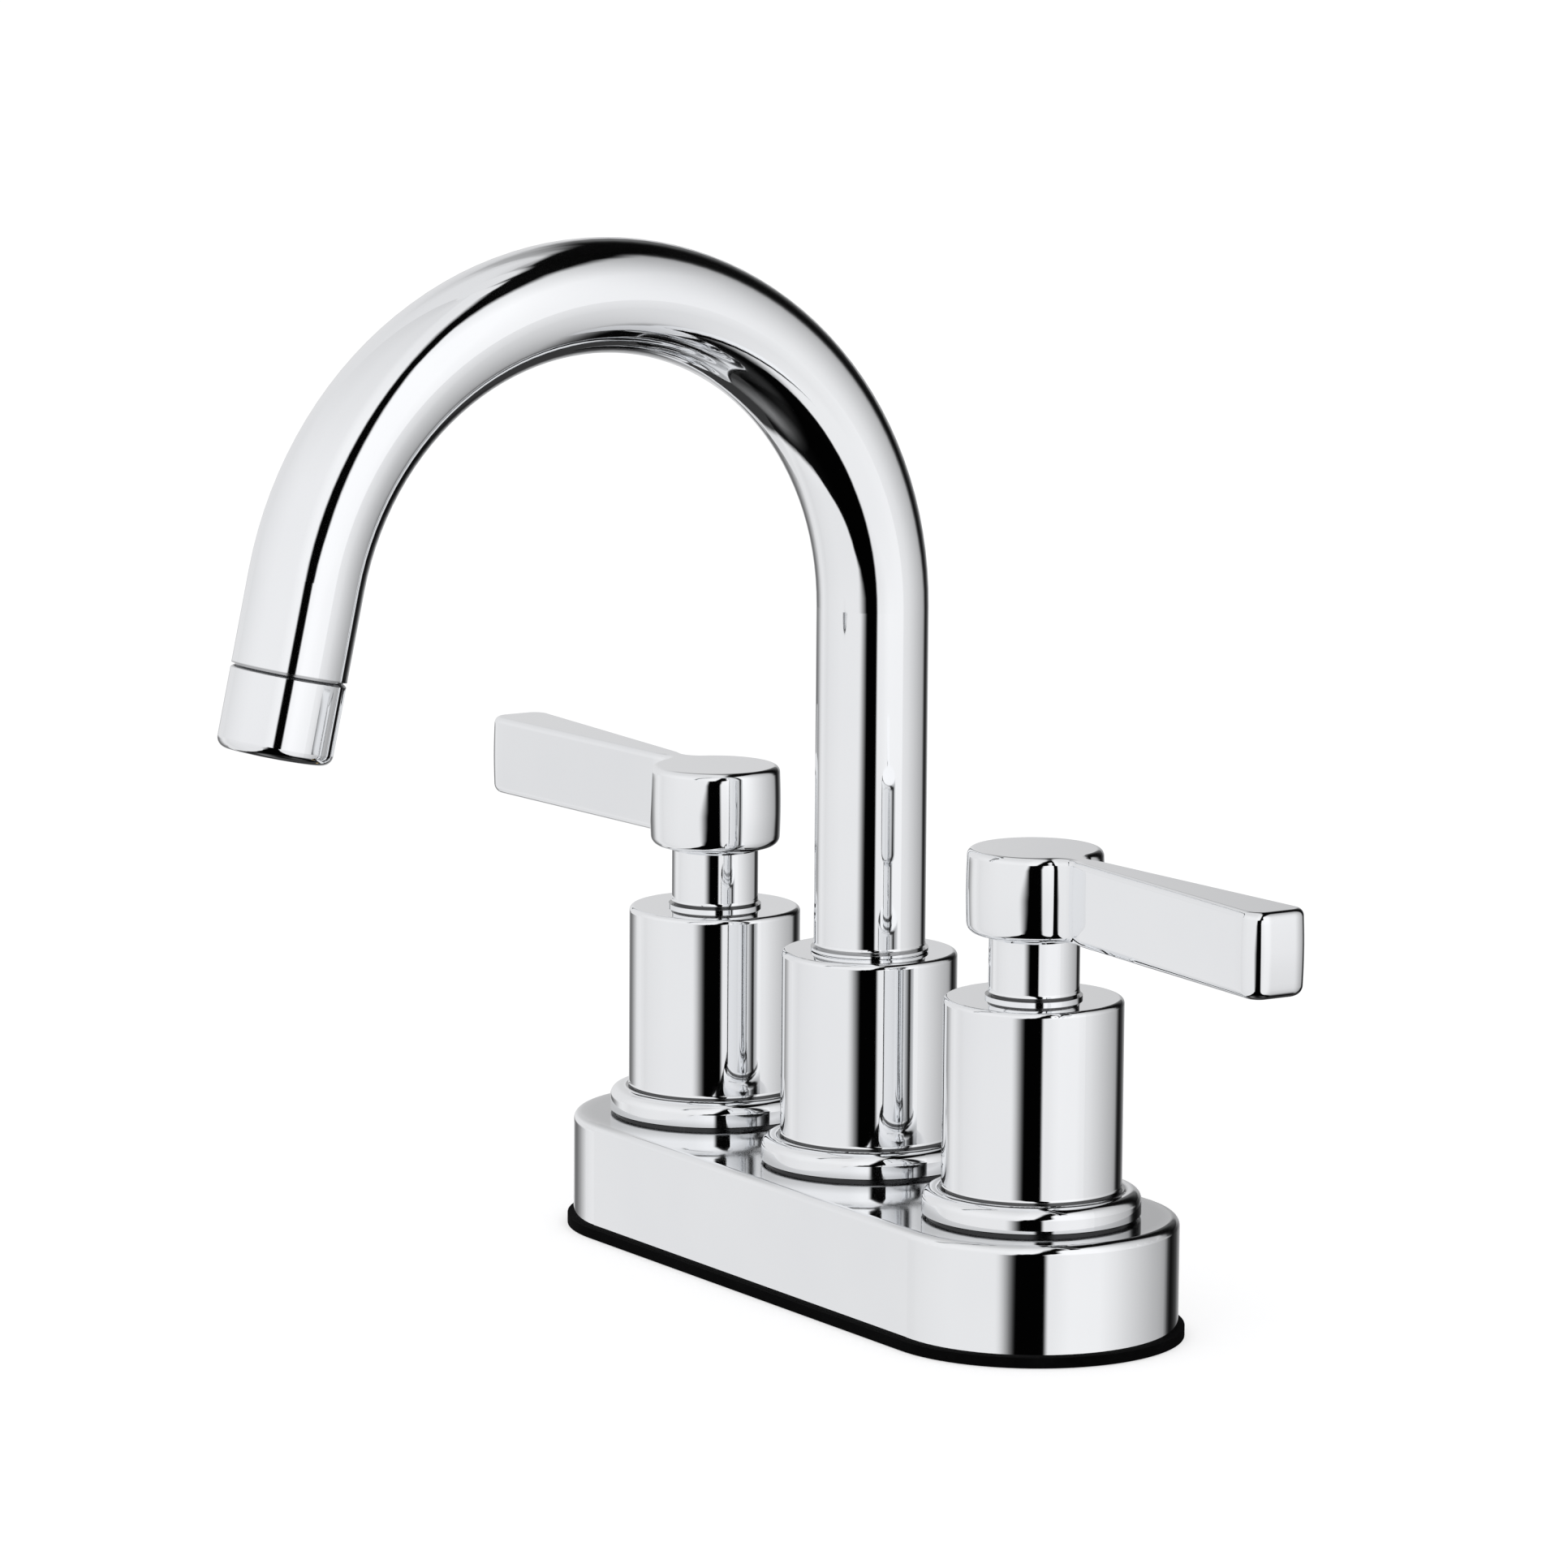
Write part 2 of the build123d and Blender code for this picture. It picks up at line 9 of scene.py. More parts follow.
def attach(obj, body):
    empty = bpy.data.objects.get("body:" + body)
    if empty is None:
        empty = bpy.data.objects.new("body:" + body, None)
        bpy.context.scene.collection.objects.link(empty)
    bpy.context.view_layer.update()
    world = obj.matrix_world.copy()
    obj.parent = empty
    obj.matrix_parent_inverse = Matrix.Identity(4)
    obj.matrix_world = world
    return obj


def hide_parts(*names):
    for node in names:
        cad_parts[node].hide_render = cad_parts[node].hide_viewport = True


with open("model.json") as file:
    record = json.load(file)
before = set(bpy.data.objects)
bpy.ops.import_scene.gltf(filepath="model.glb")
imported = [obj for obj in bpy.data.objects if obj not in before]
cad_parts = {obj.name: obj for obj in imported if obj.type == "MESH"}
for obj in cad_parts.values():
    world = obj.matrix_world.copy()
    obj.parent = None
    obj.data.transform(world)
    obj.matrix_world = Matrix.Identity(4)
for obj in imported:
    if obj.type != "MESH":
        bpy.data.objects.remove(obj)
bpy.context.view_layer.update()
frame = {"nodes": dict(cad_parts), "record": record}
nodes = frame["nodes"]
scene = bpy.context.scene

# ------------------------------------------------------------------ camera
FWD = Vector((-0.82899, 0.53507, -0.16268)).normalized()
ROLL = math.radians(0.403)
right = FWD.cross(Vector((0, 0, 1))).normalized()
up = right.cross(FWD)
r2 = right * math.cos(ROLL) + up * math.sin(ROLL)
u2 = up * math.cos(ROLL) - right * math.sin(ROLL)
cam_data = bpy.data.cameras.new("camera")
cam_data.sensor_width = 36.0
cam_data.lens = 36.0 * 9636.0 / 1932.0
cam_data.clip_start = 0.05
cam_data.clip_end = 60.0
cam = bpy.data.objects.new("camera", cam_data)
cam.matrix_world = Matrix((
    (r2.x, u2.x, -FWD.x, 1.12544),
    (r2.y, u2.y, -FWD.y, -0.74450),
    (r2.z, u2.z, -FWD.z, 0.31030),
    (0, 0, 0, 1)))
scene.collection.objects.link(cam)
scene.camera = cam

scene.view_settings.view_transform = "Standard"
scene.view_settings.look = "None"
scene.view_settings.exposure = 0.0
scene.view_settings.gamma = 1.0


# ------------------------------------------------------------------ node helpers
class Tree:
    """Small wrapper that builds shader nodes and links them."""

    def __init__(self, tree):
        self.t = tree
        self.x = 0

    def node(self, kind, **props):
        n = self.t.nodes.new(kind)
        self.x += 40
        n.location = (self.x, 0)
        for k, v in props.items():
            setattr(n, k, v)
        return n

    def put(self, sock, value):
        if hasattr(value, "is_linked") or isinstance(value, bpy.types.NodeSocket):
            self.t.links.new(value, sock)
        else:
            sock.default_value = value

    def math(self, op, a, b=0.0, c=0.0, clamp=False):
        n = self.node("ShaderNodeMath", operation=op, use_clamp=clamp)
        self.put(n.inputs[0], a)
        self.put(n.inputs[1], b)
        self.put(n.inputs[2], c)
        return n.outputs[0]

    def smooth(self, v, lo, hi, a=0.0, b=1.0):
        """a at lo, b at hi, smooth between."""
        n = self.node("ShaderNodeMapRange", interpolation_type="SMOOTHSTEP")
        self.put(n.inputs["Value"], v)
        self.put(n.inputs["From Min"], lo)
        self.put(n.inputs["From Max"], hi)
        self.put(n.inputs["To Min"], a)
        self.put(n.inputs["To Max"], b)
        return n.outputs[0]

    def steps(self, v, table):
        """Piecewise linear curve through (position, value) pairs, as a chain of clamped linear map ranges."""
        out = table[0][1]
        for (x0, y0), (x1, y1) in zip(table, table[1:]):
            n = self.node("ShaderNodeMapRange", interpolation_type="LINEAR", clamp=True)
            self.put(n.inputs["Value"], v)
            n.inputs["From Min"].default_value = x0
            n.inputs["From Max"].default_value = x1
            n.inputs["To Min"].default_value = 0.0
            n.inputs["To Max"].default_value = y1 - y0
            out = self.math("ADD", out, n.outputs[0])
        return out

    def mul(self, a, b):
        return self.math("MULTIPLY", a, b)

    def add(self, a, b):
        return self.math("ADD", a, b)

    def sub(self, a, b):
        return self.math("SUBTRACT", a, b)


# ------------------------------------------------------------------ studio light
def studio():
    world = bpy.data.worlds.new("studio")
    scene.world = world
    world.use_nodes = True
    world.node_tree.nodes.clear()
    t = Tree(world.node_tree)
    co = t.node("ShaderNodeTexCoord")
    sep = t.node("ShaderNodeSeparateXYZ")
    t.put(sep.inputs[0], co.outputs["Generated"])
    x, y, z = sep.outputs
    el = t.mul(t.math("ARCSINE", t.math("MINIMUM", t.math("MAXIMUM", z, -1.0), 1.0)), 180 / math.pi)
    az = t.mul(t.math("ARCTAN2", x, t.mul(y, -1.0)), 180 / math.pi)       # 0 at -Y, 90 at +X
    az = t.math("MODULO", t.add(az, 360.0 + 70.0), 360.0)                 # 0..360, cut at az = -70
    az = t.sub(az, 70.0)                                                  # -70..290

    # right hand diffuser
    left_edge = t.steps(el, [(-52, 100), (-48, 91), (-44, 84.5), (-38, 77), (-30, 71.5), (-22, 69), (-12, 67), (-8, 66.5),
                             (-4, 66), (0, 69.5), (3, 75), (8, 78), (30, 78.5), (40, 80), (50, 86.5), (56, 92), (61, 99), (66, 112), (69, 130)])
    m_r = t.smooth(t.sub(az, left_edge), -2.0, 2.5)
    m_r = t.mul(m_r, t.smooth(el, -55.0, -42.0))
    top_el = t.steps(az, [(90, 52), (100, 55.8), (110, 57.6), (120, 59.4), (130, 61.4), (150, 60.3), (162, 59.6), (172, 56.5),
                          (190, 54.5), (200, 48), (215, 40)])
    m_r = t.mul(m_r, t.smooth(t.sub(top_el, el), -3.5, 3.5))
    lean = t.steps(el, [(-40, 7), (-20, 5), (-13, -3), (-10, -7), (-7, -6), (-2, -1), (3, 0)])
    fade = t.steps(t.add(az, lean), [(70, 0.98), (84, 1.06), (108, 1.05), (122, 0.94), (134, 0.82), (150, 0.68), (162, 0.58),
                                     (172, 0.51), (179, 0.42), (182, 0.27), (186, 0.07), (190, 0.012), (196, 0.004)])
    by_el = t.steps(el, [(-50, 0.80), (-40, 0.84), (-18, 0.86), (-12, 0.88), (-8, 0.92), (-3, 0.985), (3, 1.0), (36, 1.0), (50, 0.88), (60, 0.80)])
    right_light = t.mul(m_r, t.mul(fade, by_el))

    # left hand diffuser, which arches over the top and comes down again behind the faucet
    b_left = t.steps(el, [(-60, -30), (-55, -6), (-50, 3), (-45, 11.5), (-40, 19.5), (-35, 25), (-30, 28.5), (-25, 31), (-20, 35),
                          (-14, 36), (-10, 36), (-5, 42), (-1, 45), (1, 47), (3, 53), (5, 57.5), (20, 61), (35, 65), (50, 70), (60, 75), (65, 81), (70, 89), (75, 99), (79, 136)])
    soft = t.steps(el, [(-24, 2.0), (-18, 5.0), (-12, 9.5), (-9, 9.5), (-5, 4.0), (0, 2.6), (45, 2.6), (60, 6.0), (75, 11.0)])
    m_l = t.smooth(t.math("DIVIDE", t.sub(b_left, az), soft), -1.0, 1.0)
    low = t.steps(az, [(-70, -52), (-52, -55.5), (-36, -57), (-20, -56), (-8, -54), (2, -51), (10, -47)])
    m_l = t.mul(m_l, t.smooth(t.sub(el, low), -2.5, 2.5))
    tone = t.steps(az, [(-70, 0.80), (-60, 0.825), (-50, 0.845), (-30, 0.88), (-10, 0.905), (36, 0.91), (50, 0.98), (62, 0.98)])
    bump = t.steps(az, [(-70, 0.05), (-64, 0.085), (-59, 0.04), (-56, 0.02), (-50, -0.02), (-42, 0.0)])
    tone = t.add(tone, t.mul(bump, t.smooth(el, 3.0, -4.0)))
    tone_el = t.steps(el, [(-56, 1.0), (-46, 0.93), (-20, 0.93), (0, 0.96), (10, 1.0), (32, 1.0), (50, 0.93), (80, 0.85)])
    left_light = t.mul(m_l, t.mul(tone, tone_el))

    shift = t.steps(el, [(-45, -30), (-35, -18), (-25, -8), (-10, 0), (15, 0), (30, -12), (40, -22), (50, -18), (56, -5),
                         (62, 8)])
    back = t.steps(t.add(az, shift), [(192, 0.004), (200, 0.018), (207, 0.055), (213, 0.15), (221, 0.36), (229, 0.45),
                                      (236, 0.67), (250, 0.77), (262, 0.79), (290, 0.80)])
    b_right = t.steps(el, [(3, 196), (8, 221), (13, 228), (18, 238), (30, 241), (40, 236), (45, 231), (50, 229), (55, 227), (60, 225.5), (65, 221), (70, 215), (75, 203), (80, 150)])
    rest_of = t.steps(el, [(28, 0.34), (44, 0.0)])
    back = t.mul(back, t.add(rest_of, t.mul(t.sub(1.0, rest_of), t.smooth(t.sub(az, b_right), -4.0, 4.0))))
    low_b = t.steps(az, [(215, -60), (240, -40), (262, -38), (270, -39.5), (278, -45), (290, -52)])
    back = t.mul(back, t.smooth(t.sub(el, low_b), -2.5, 2.5))
    shade = t.steps(az, [(248, 1.0), (254, 0.34), (259, 0.20), (266, 0.24), (274, 0.44), (282, 0.74), (288, 1.0)])
    in_shade = t.mul(t.smooth(el, -34.5, -31.5), t.smooth(el, -4.0, -9.0))
    back = t.mul(back, t.add(1.0, t.mul(in_shade, t.sub(shade, 1.0))))
    back = t.math("MAXIMUM", back, t.mul(t.smooth(el, -24.0, -34.0), t.smooth(az, 176.0, 190.0, 0.0, 0.04)))
    back = t.mul(back, t.smooth(az, 186.0, 194.0))
    tilt = t.mul(t.math("COSINE", t.mul(t.sub(az, 225.0), math.pi / 180.0)), 8.0)
    top = t.mul(t.smooth(t.add(el, tilt), 81.0, 86.0), 0.80)

    # the table top under it, seen in the undersides
    table = t.steps(az, [(-70, 0.17), (-40, 0.20), (-20, 0.13), (0, 0.065), (12, 0.045), (22, 0.026), (34, 0.010),
                         (62, 0.010), (74, 0.025), (96, 0.026), (110, 0.07), (190, 0.04), (262, 0.10), (290, 0.17)])
    table = t.mul(table, t.steps(el, [(-84, 0.2), (-78, 0.6), (-72, 1.0), (-68, 0.9), (-63, 0.25), (-60, 0.04)]))
    left_light = t.math("MAXIMUM", left_light, t.math("MAXIMUM", back, top))
    light = t.math("MAXIMUM", right_light, left_light)
    light = t.math("MAXIMUM", light, t.math("MAXIMUM", table, 0.0006))

    rgb = t.node("ShaderNodeCombineColor")
    t.put(rgb.inputs[0], light)
    t.put(rgb.inputs[1], light)
    t.put(rgb.inputs[2], t.mul(light, 1.01))
    glow = t.node("ShaderNodeBackground")
    t.put(glow.inputs["Color"], rgb.outputs[0])
    glow.inputs["Strength"].default_value = 1.0
    plain = t.node("ShaderNodeBackground")
    plain.inputs["Color"].default_value = (1, 1, 1, 1)
    plain.inputs["Strength"].default_value = 1.0
    fill = t.node("ShaderNodeBackground")                                 # even light for matt surfaces
    fill.inputs["Color"].default_value = (0.60, 0.60, 0.606, 1)
    fill.inputs["Strength"].default_value = 1.0
    path = t.node("ShaderNodeLightPath")
    shine = t.node("ShaderNodeMixShader")
    t.put(shine.inputs[0], path.outputs["Is Glossy Ray"])
    t.put(shine.inputs[1], fill.outputs[0])
    t.put(shine.inputs[2], glow.outputs[0])
    mix = t.node("ShaderNodeMixShader")
    t.put(mix.inputs[0], path.outputs["Is Camera Ray"])
    t.put(mix.inputs[1], shine.outputs[0])
    t.put(mix.inputs[2], plain.outputs[0])
    out = t.node("ShaderNodeOutputWorld")
    t.put(out.inputs[0], mix.outputs[0])


studio()


# ------------------------------------------------------------------ floor
def floor():
    mesh = bpy.data.meshes.new("floor")
    s = 14.0
    mesh.from_pydata([(-s, -s, 0), (s, -s, 0), (s, s, 0), (-s, s, 0)], [], [(0, 1, 2, 3)])
    ob = bpy.data.objects.new("floor", mesh)
    scene.collection.objects.link(ob)
    ob.location.z = -0.0001
    mat = bpy.data.materials.new("floor_white")
    mat.use_nodes = True
    b = mat.node_tree.nodes["Principled BSDF"]
    b.inputs["Base Color"].default_value = (0.93, 0.93, 0.93, 1)
    b.inputs["Roughness"].default_value = 0.9
    b.inputs["Specular IOR Level"].default_value = 0.0
    b.inputs["Emission Color"].default_value = (1, 1, 1, 1)
    b.inputs["Emission Strength"].default_value = 0.50
    mesh.materials.append(mat)
    ob.visible_glossy = False
    return ob


floor()


# ------------------------------------------------------------------ materials
def chrome(name, seed=0.0, tint=(0.93, 0.94, 0.95), grooves=(), feet=(), joint=None):
    """Polished plating, with painted shade darkening its base colour in three kinds of place. grooves are height bands
    (mm, start, end, how dark) where shade is painted into a turned line or seam.
    feet are (x, inner, outer, how dark): painted contact shadow on the base's top round a post's foot.
    joint is (light end, dark end, how dark), mm along the outlet's axis from the tube's end: painted shade at the seam
    between tube and outlet."""
    mat = bpy.data.materials.new(name)
    mat.use_nodes = True
    tree = mat.node_tree
    t = Tree(tree)
    b = tree.nodes["Principled BSDF"]
    b.inputs["Metallic"].default_value = 1.0
    co = t.node("ShaderNodeTexCoord")
    mp = t.node("ShaderNodeMapping")
    mp.inputs["Location"].default_value = (seed, seed * 1.7, seed * 0.6)
    t.put(mp.inputs[0], co.outputs["Object"])
    fine = t.node("ShaderNodeTexNoise")
    fine.inputs["Scale"].default_value = 900.0
    fine.inputs["Detail"].default_value = 3.0
    t.put(fine.inputs["Vector"], mp.outputs[0])
    slow = t.node("ShaderNodeTexNoise")
    slow.inputs["Scale"].default_value = 38.0
    slow.inputs["Detail"].default_value = 2.0
    t.put(slow.inputs["Vector"], mp.outputs[0])
    rough = t.add(t.mul(fine.outputs["Fac"], 0.018), t.add(t.mul(slow.outputs["Fac"], 0.025), 0.020))
    t.put(b.inputs["Roughness"], rough)
    ramp = t.node("ShaderNodeValToRGB")
    ramp.color_ramp.elements[0].position = 0.30
    ramp.color_ramp.elements[0].color = (tint[0] * 0.975, tint[1] * 0.975, tint[2] * 0.98, 1)
    ramp.color_ramp.elements[1].position = 0.70
    ramp.color_ramp.elements[1].color = (*tint, 1)
    t.put(ramp.inputs[0], slow.outputs["Fac"])
    # painted shade: the base colour is darkened towards near black in grooves, round post feet and at the outlet seam,
    # where shade falls
    if grooves or feet or joint:
        sep = t.node("ShaderNodeSeparateXYZ")
        t.put(sep.inputs[0], co.outputs["Object"])
        painted_shade_mask = 0.0
        # painted contact shadow on the base's top round each post's foot
        for x, inner, outer, dark in feet:
            dx = t.sub(sep.outputs[0], x / 1000)
            far = t.math("SQRT", t.add(t.mul(dx, dx), t.mul(sep.outputs[1], sep.outputs[1])))
            near = t.mul(t.smooth(far, outer / 1000, inner / 1000, 0.0, dark), t.smooth(sep.outputs[2], 0.0200, 0.0205))
            painted_shade_mask = t.math("MAXIMUM", painted_shade_mask, near)
        # painted shade in the seam where the tube meets the outlet
        if joint:
            along = t.add(t.add(t.mul(sep.outputs[1], -0.21542), t.mul(sep.outputs[2], -0.97652)), 0.08870)
            ring = t.mul(t.smooth(along, joint[0] / 1000, joint[1] / 1000, 0.0, joint[2]), t.smooth(sep.outputs[1], -0.085, -0.095))
            painted_shade_mask = t.math("MAXIMUM", painted_shade_mask, ring)
        # painted shade in the turned grooves and seams
        for z0, z1, dark in grooves:
            band = t.mul(t.smooth(sep.outputs[2], (z0 - 0.08) / 1000, (z0 + 0.08) / 1000),
                         t.smooth(sep.outputs[2], (z1 + 0.08) / 1000, (z1 - 0.08) / 1000))
            painted_shade_mask = t.math("MAXIMUM", painted_shade_mask, t.mul(band, dark))
        painted_shade_mask = t.mul(painted_shade_mask, t.smooth(fine.outputs["Fac"], 0.0, 0.35, 0.8, 1.0))
        painted_shade_mix = t.node("ShaderNodeMix", data_type="RGBA")
        t.put(painted_shade_mix.inputs[0], painted_shade_mask)
        t.put(painted_shade_mix.inputs[6], ramp.outputs[0])
        # near-black colour of the painted shade
        painted_shade_mix.inputs[7].default_value = (0.020, 0.020, 0.021, 1)
        t.put(b.inputs["Base Color"], painted_shade_mix.outputs[2])
        t.put(b.inputs["Roughness"], t.add(rough, t.mul(painted_shade_mask, 0.14)))
    else:
        t.put(b.inputs["Base Color"], ramp.outputs[0])
    bump = t.node("ShaderNodeBump")
    bump.inputs["Strength"].default_value = 0.05
    bump.inputs["Distance"].default_value = 0.00002
    t.put(bump.inputs["Height"], slow.outputs["Fac"])
    t.put(b.inputs["Normal"], bump.outputs[0])
    return mat


def metal(name, light, dark, rough=0.3, scale=300.0, stretch=(1, 1, 1), bump_mm=0.01, metallic=1.0, spec=0.5):
    mat = bpy.data.materials.new(name)
    mat.use_nodes = True
    tree = mat.node_tree
    t = Tree(tree)
    b = tree.nodes["Principled BSDF"]
    b.inputs["Metallic"].default_value = metallic
    co = t.node("ShaderNodeTexCoord")
    mp = t.node("ShaderNodeMapping")
    mp.inputs["Scale"].default_value = stretch
    t.put(mp.inputs[0], co.outputs["Object"])
    grain = t.node("ShaderNodeTexNoise")
    grain.inputs["Scale"].default_value = scale
    grain.inputs["Detail"].default_value = 4.0
    t.put(grain.inputs["Vector"], mp.outputs[0])
    cloud = t.node("ShaderNodeTexNoise")
    cloud.inputs["Scale"].default_value = 60.0
    t.put(cloud.inputs["Vector"], mp.outputs[0])
    mixed = t.add(t.mul(grain.outputs["Fac"], 0.5), t.mul(cloud.outputs["Fac"], 0.5))
    ramp = t.node("ShaderNodeValToRGB")
    ramp.color_ramp.elements[0].position = 0.35
    ramp.color_ramp.elements[0].color = (*dark, 1)
    ramp.color_ramp.elements[1].position = 0.65
    ramp.color_ramp.elements[1].color = (*light, 1)
    t.put(ramp.inputs[0], mixed)
    t.put(b.inputs["Base Color"], ramp.outputs[0])
    t.put(b.inputs["Roughness"], t.add(t.mul(grain.outputs["Fac"], 0.16), rough - 0.08))
    bump = t.node("ShaderNodeBump")
    bump.inputs["Strength"].default_value = 0.5
    bump.inputs["Distance"].default_value = bump_mm / 1000
    t.put(bump.inputs["Height"], grain.outputs["Fac"])
    t.put(b.inputs["Normal"], bump.outputs[0])
    b.inputs["Specular IOR Level"].default_value = spec
    return mat


M = {
    "chrome": chrome("chrome_plate"),
    "chrome_cast": chrome("chrome_cast", seed=3.1),
    # chrome_base carries painted contact shadow round the three post feet; chrome_outlet and chrome_tube carry painted
    # shade at the tube-to-outlet seam
    "chrome_base": chrome("chrome_base", seed=3.4, feet=[(-50.8, 21.5, 29.0, 0.42), (0.0, 21.5, 29.0, 0.42), (50.8, 21.5, 29.0, 0.42)]),
    "chrome_outlet": chrome("chrome_outlet", seed=4.2, joint=(0.85, 0.60, 0.5)),
    # chrome_post, chrome_neck and chrome_tube carry painted shade in their turned grooves and seams
    "chrome_post": chrome("chrome_post", seed=1.3, grooves=[(20.5, 21.2, 0.95), (25.48, 25.98, 0.85)]),
    "chrome_neck": chrome("chrome_neck", seed=2.2, grooves=[(59.0, 59.6, 0.9)]),
    "chrome_tube": chrome("chrome_tube", seed=0.7, grooves=[(59.16, 59.75, 0.55)], joint=(-0.35, -0.10, 0.5)),
    # near-black brass for the outlet adapter: painted shade, so that the gap between tube and outlet reads dark
    "brass_painted_shade": metal("brass_painted_shade", (0.030, 0.025, 0.016), (0.012, 0.010, 0.007), rough=0.50, scale=420, bump_mm=0.03),
    "brass": metal("brass_turned", (0.83, 0.62, 0.28), (0.62, 0.42, 0.16), rough=0.28, scale=420, bump_mm=0.02),
    "copper": metal("copper_drawn", (0.86, 0.48, 0.31), (0.66, 0.30, 0.18), rough=0.30, scale=260, stretch=(0.1, 1, 1)),
    "steel": metal("steel_plain", (0.62, 0.62, 0.60), (0.42, 0.42, 0.41), rough=0.34, scale=500),
    "rubber": metal("rubber_black", (0.030, 0.030, 0.031), (0.014, 0.014, 0.015), rough=0.62, scale=700, bump_mm=0.04, metallic=0.0),
    "gasket_rubber": metal("gasket_black", (0.0032, 0.0032, 0.0034), (0.0012, 0.0012, 0.0012), rough=0.80, scale=500, bump_mm=0.05, metallic=0.0, spec=0.03),
    "plastic": metal("plastic_white", (0.86, 0.86, 0.84), (0.76, 0.76, 0.74), rough=0.42, scale=600, bump_mm=0.01, metallic=0.0),
    "ceramic": metal("ceramic_white", (0.93, 0.92, 0.88), (0.86, 0.85, 0.80), rough=0.20, scale=800, bump_mm=0.004, metallic=0.0),
    "fibre": metal("fibre_red", (0.50, 0.16, 0.10), (0.34, 0.09, 0.06), rough=0.75, scale=350, bump_mm=0.05, metallic=0.0),
}

slots = {s["node"]: s["material_slot"] for s in frame["record"]["subparts"]}
FINISH = {"base_plate": "chrome_base", "aerator_housing": "chrome_outlet", "hot_handle": "chrome_cast", "cold_handle": "chrome_cast", "spout_tube": "chrome_tube",
          "hot_post": "chrome_post", "centre_post": "chrome_post", "cold_post": "chrome_post",
          # spout_outlet_adapter takes the near-black brass that paints shade into the outlet gap
          "hot_neck_sleeve": "chrome_neck", "cold_neck_sleeve": "chrome_neck", "spout_outlet_adapter": "brass_painted_shade"}
for name, ob in nodes.items():
    slot = slots[name]
    mat = M[FINISH.get(name, slot)]
    ob.data.materials.clear()
    ob.data.materials.append(mat)


# ------------------------------------------------------------------ threads
PITCH = 25.4 / 14
CREST_R, ROOT_R = 10.3, 9.25
PROFILE = [(0.0, ROOT_R), (0.12, ROOT_R), (0.46, CREST_R - 0.05), (0.50, CREST_R), (0.60, CREST_R), (0.64, CREST_R - 0.05), (0.98, ROOT_R)]


def thread(bm, x, z0, z1, r_low, r_top, runout=False, columns=72):
    """A helical thread surface round the axis at x from z0 to z1 (mm), chamfered to the given end radii."""
    turns = int((z1 - z0) / PITCH) + 3
    rows = []
    for i in range(columns + 1):
        a = 2 * math.pi * i / columns
        row = []
        points = [(z0, r_low)]
        for k in range(turns):
            for f, r in PROFILE:
                z = z0 + PITCH * (k - 1 + f + i / columns)
                r = min(r, r_low + max(z - z0, 0.0))
                if runout:
                    r = max(r, ROOT_R + (CREST_R - ROOT_R) * (z - (z1 - 3.0)) / 3.0)
                else:
                    r = min(r, r_top + max(z1 - z, 0.0))
                if z <= z0:
                    points.append((z0, r_low))
                elif z >= z1:
                    points.append((z1, r_top))
                else:
                    points.append((z, r))
        points.append((z1, r_top))
        for z, r in points:
            row.append(bm.verts.new(((x + r * math.cos(a)) / 1000, r * math.sin(a) / 1000, z / 1000)))
        rows.append(row)
    for a, b in zip(rows, rows[1:]):
        for k in range(len(a) - 1):
            quad = [a[k], b[k], b[k + 1], a[k + 1]]
            if (quad[0].co - quad[3].co).length < 1e-8 and (quad[1].co - quad[2].co).length < 1e-8:
                continue
            bm.faces.new(quad)


def threaded_body(side, x):
    """The valve body with its two real threads on the shank, standing for the CAD node with plain ones."""
    node = nodes[f"{side}_valve_body"]
    src = node.data
    bm = bmesh.new()
    bm.verts.ensure_lookup_table()
    vs = [bm.verts.new(v.co) for v in src.vertices]
    for poly in src.polygons:
        try:
            bm.faces.new([vs[i] for i in poly.vertices])
        except ValueError:
            pass
    bmesh.ops.remove_doubles(bm, verts=bm.verts[:], dist=1e-6)

    def radius(v):
        return math.hypot(v.co.x * 1000 - x, v.co.y * 1000)
    wall = [f for f in bm.faces if all(radius(v) > 10.2 and v.co.z * 1000 < 3.02 for v in f.verts) and abs(f.normal.z) < 0.3
            and all(radius(v) < 10.4 for v in f.verts)]
    bmesh.ops.delete(bm, geom=wall, context="FACES")
    for v in bm.verts:
        z = v.co.z * 1000
        if 10.2 < radius(v) < 10.4 and z < 2.0:
            want = 9.35 if z < -45 else 9.75
            k = want / radius(v)
            v.co.x = (x + (v.co.x * 1000 - x) * k) / 1000
            v.co.y = v.co.y * k
    thread(bm, x, -48.0, -33.5, 9.35, 9.75)
    thread(bm, x, -32.0, 3.0, 9.75, 10.3, runout=True)
    bmesh.ops.remove_doubles(bm, verts=bm.verts[:], dist=2e-6)
    bmesh.ops.dissolve_degenerate(bm, dist=1e-7, edges=bm.edges[:])
    bmesh.ops.recalc_face_normals(bm, faces=bm.faces[:])
    for f in bm.faces:
        f.smooth = True
    for e in bm.edges:
        e.smooth = len(e.link_faces) == 2 and e.calc_face_angle(0.0) < math.radians(24)
    mesh = bpy.data.meshes.new(f"{side}_threaded_body")
    bm.to_mesh(mesh)
    bm.free()
    ob = bpy.data.objects.new(f"{side}_threaded_body", mesh)
    scene.collection.objects.link(ob)
    mesh.materials.append(M["brass"])
    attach(ob, "base")
    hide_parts(f"{side}_valve_body")


